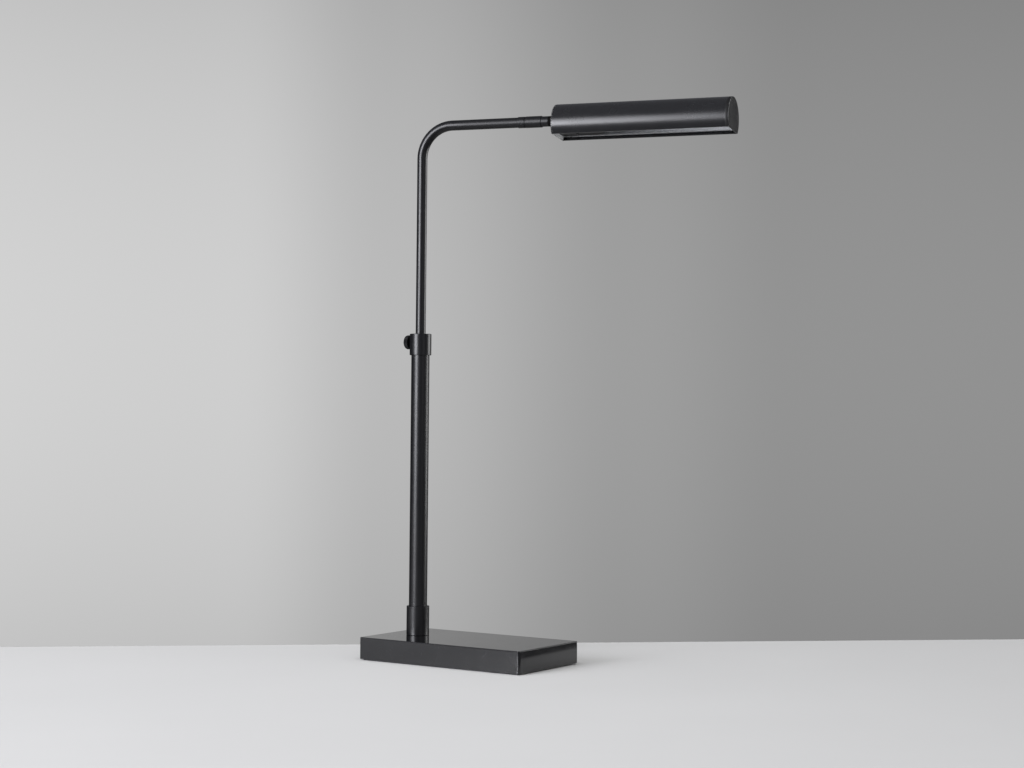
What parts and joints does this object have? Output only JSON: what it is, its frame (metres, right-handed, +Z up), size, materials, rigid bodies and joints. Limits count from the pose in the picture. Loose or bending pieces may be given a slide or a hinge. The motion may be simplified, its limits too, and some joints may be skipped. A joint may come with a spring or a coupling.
{
  "type": "piano lamp",
  "caption": "Desk or piano lamp: weighted slab base, telescoping mast with clamp screw, swinging bent arm, and a rolling trough shade with a built-in light strip.",
  "frame": {"origin": "on the rest plane, under the mast's axis", "axes": "+X along the base's long side towards its long end, +Y to the back where the cord leaves, +Z up along the mast"},
  "size_m": [0.4414, 0.1782, 0.69],
  "materials": {
    "black_gloss": "polished black lacquer",
    "black_satin": "satin black powder coat",
    "black_knob": "black, knurled",
    "cast_weight": "rough casting",
    "zinc_steel": "zinc plated",
    "black_felt": "pressed felt",
    "black_rubber": "moulded",
    "nylon": "turned nylon",
    "brass_shoe": "turned",
    "black_fibre": "vulcanised fibre",
    "tray_aluminium": "mill finish, white where it shows",
    "light_chip": "phosphor window",
    "opal_diffuser": "opal, unlit",
    "black_plastic": "moulded"
  },
  "bodies": {
    "base": {"base_shell": "black_gloss", "ballast": "cast_weight", "base_plate": "zinc_steel", "plate_screws": "zinc_steel", "felt_pad": "black_felt", "cord_grommet": "black_rubber", "foot_collar": "black_satin", "tie_rod": "zinc_steel", "tie_washer": "zinc_steel", "tie_nut": "zinc_steel", "pole_tube": "black_satin", "guide_bush": "nylon", "clamp_collar": "black_satin"},
    "clamp_shoe": {"clamp_shoe": "brass_shoe"},
    "clamp_screw": {"clamp_stud": "zinc_steel", "clamp_knob": "black_knob"},
    "mast_slider": {"mast_glide": "nylon"},
    "arm": {"arm_tube": "black_satin", "glide_clips": "zinc_steel", "swivel_socket": "black_satin", "swivel_screw": "zinc_steel"},
    "head": {"swivel_neck": "black_satin", "shade_stub": "black_satin", "shade_washer": "black_fibre", "stub_nut": "zinc_steel", "shade_shell": "black_satin", "arm_end_cap": "black_satin", "tip_cap": "black_satin", "light_tray": "tray_aluminium", "tray_studs": "zinc_steel", "tray_screws": "zinc_steel", "led_board": "tray_aluminium", "led_chips": "light_chip", "diffuser": "opal_diffuser", "switch_cover": "black_plastic", "switch_body": "black_plastic"},
    "switch_button": {"switch_button": "black_plastic"}
  },
  "joints": [
    {"name": "clamp_travel", "type": "slide", "parent": "base", "child": "clamp_shoe", "axis": [-1, 0, 0], "range_m": [0, 0.0016]},
    {"name": "clamp_turn", "type": "hinge", "parent": "clamp_shoe", "child": "clamp_screw", "pos_m": [-0.015, 0, 0.3975], "axis": [-1, 0, 0], "range_deg": [0, 720]},
    {"name": "mast_lift", "type": "slide", "parent": "base", "child": "mast_slider", "axis": [0, 0, 1], "range_m": [-0.2, 0.04]},
    {"name": "arm_swing", "type": "hinge", "parent": "mast_slider", "child": "arm", "pos_m": [0, 0, 0.3975], "axis": [0, 0, 1], "range_deg": [-182.5, 157.5]},
    {"name": "head_roll", "type": "hinge", "parent": "arm", "child": "head", "pos_m": [0.13117, 0.02908, 0.67], "axis": [0.9763, 0.2164, 0], "range_deg": [-85, 95]},
    {"name": "switch_press", "type": "slide", "parent": "head", "child": "switch_button", "axis": [-0.0189, 0.0851, 0.9962], "range_m": [0, 0.0015], "stiffness_N_per_m": 800, "springref_m": -0.0005}
  ],
  "couplings": [
    {"joint": "clamp_turn", "follows": "clamp_travel", "rad_per_m": 7853.9}
  ]
}
